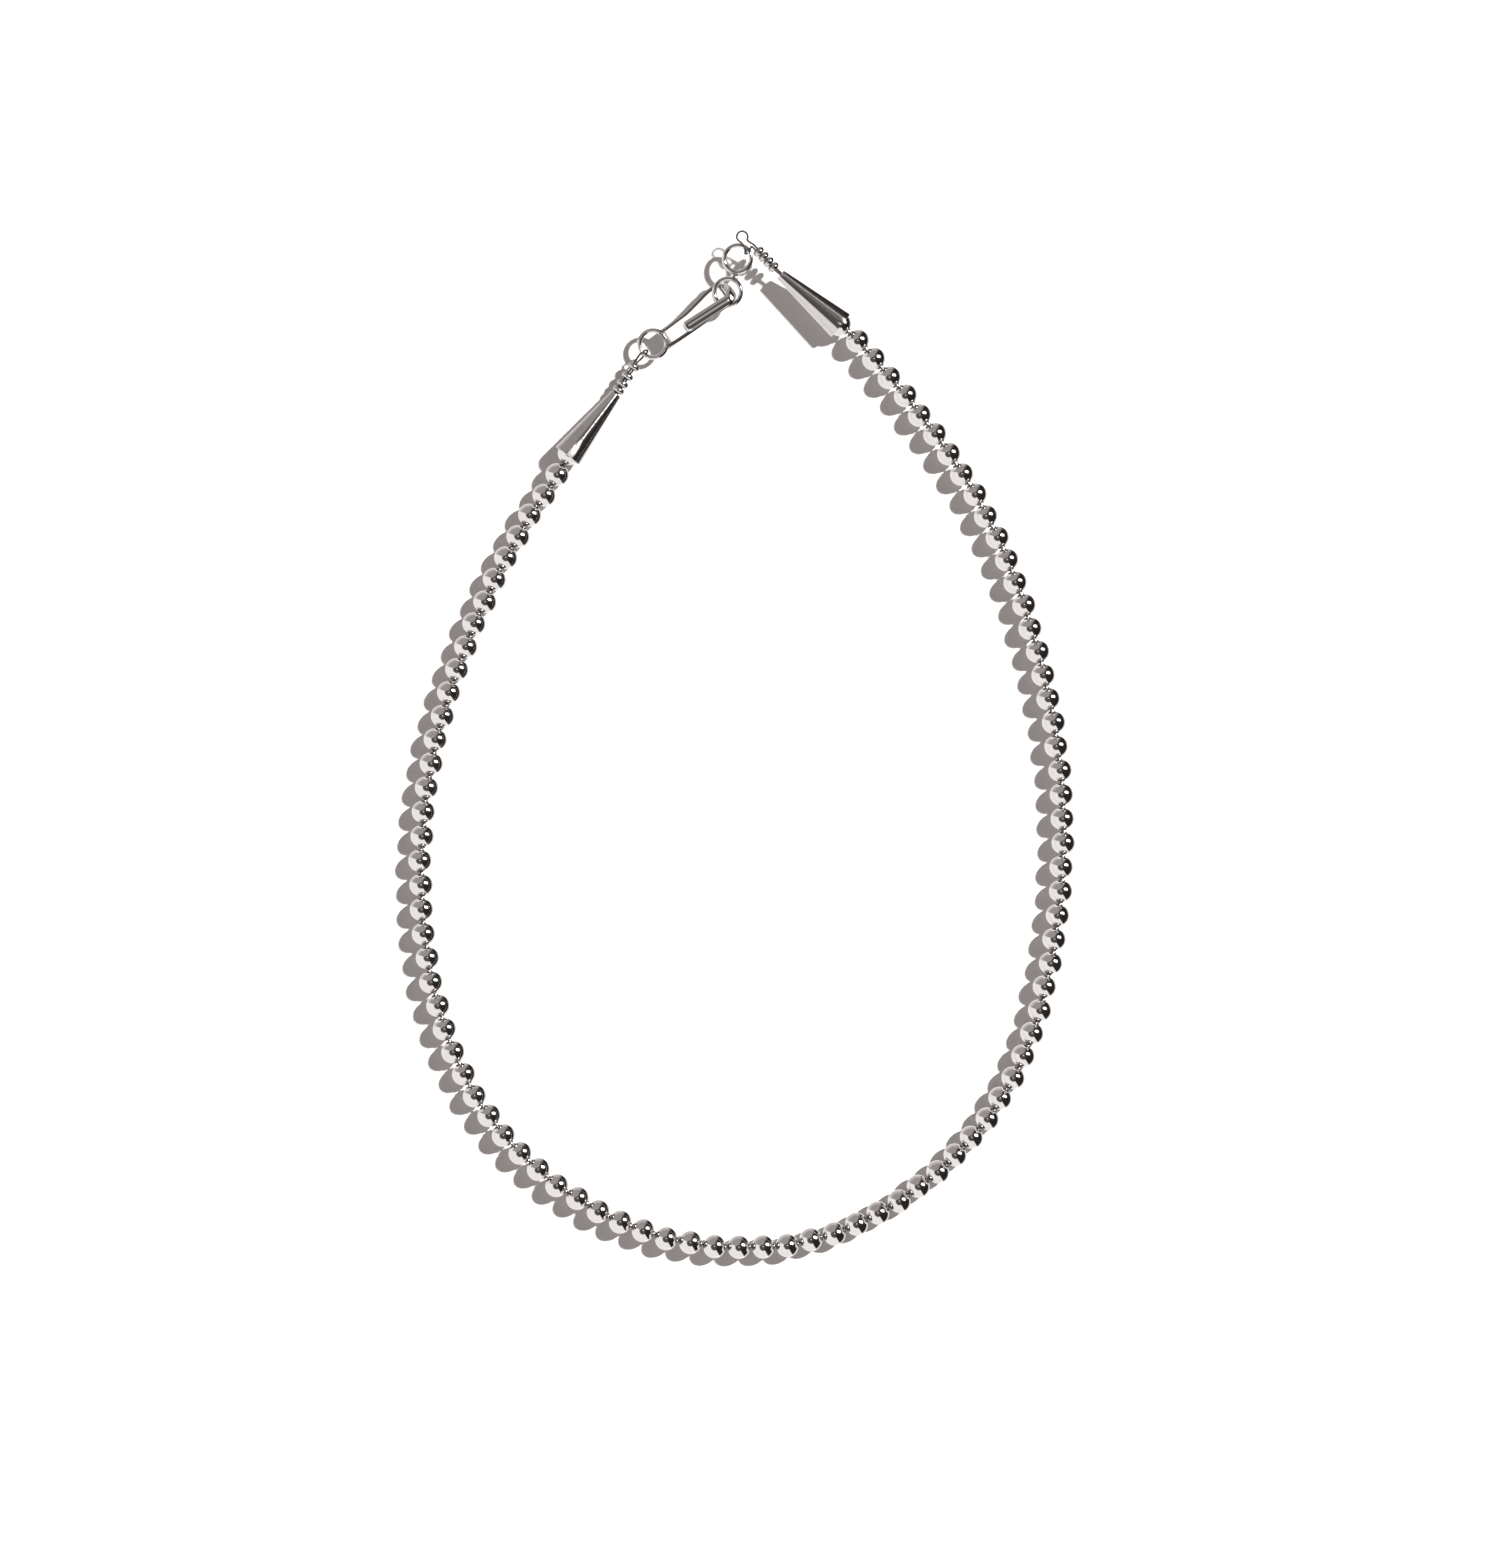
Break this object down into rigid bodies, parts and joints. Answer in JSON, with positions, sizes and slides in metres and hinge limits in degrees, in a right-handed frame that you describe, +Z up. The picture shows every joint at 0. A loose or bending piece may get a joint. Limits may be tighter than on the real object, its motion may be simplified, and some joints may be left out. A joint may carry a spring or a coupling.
{
  "type": "navajo pearl necklace",
  "caption": "Closed necklace of round hollow silver pearls on a wire, with long plain end cones, small rondelles and a hook clasp caught in a pair of rings.",
  "frame": {"origin": "middle of the necklace's outline in plan, on the surface that it lies on", "axes": "+Y along the necklace's length, towards the clasp; +X across it, to the right seen from above; +Z up, away from the surface"},
  "size_m": [0.1213, 0.1869, 0.0058],
  "materials": {
    "pearl_silver": "polished silver sheet balls, soft mirror with fine handling marks",
    "cone_silver": "polished plain silver cones with faint lengthwise polishing lines",
    "tip_silver": "polished cast silver rondelles, darkened in their holes",
    "clasp_silver": "polished silver wire and strip, darkened at the solder joints",
    "wire": "fine twisted steel stringing wire, dull grey"
  },
  "bodies": {
    "root": {"pearls_right": "pearl_silver", "pearls_left": "pearl_silver", "thread": "wire", "cone_right": "cone_silver", "cone_left": "cone_silver", "catch": "clasp_silver", "hook": "clasp_silver", "tip_bead_right_1": "tip_silver", "tip_bead_right_2": "tip_silver", "tip_bead_right_3": "tip_silver", "tip_bead_right_4": "tip_silver", "tip_bead_left_1": "tip_silver", "tip_bead_left_2": "tip_silver", "tip_bead_left_3": "tip_silver", "tip_bead_left_4": "tip_silver"}
  },
  "joints": []
}
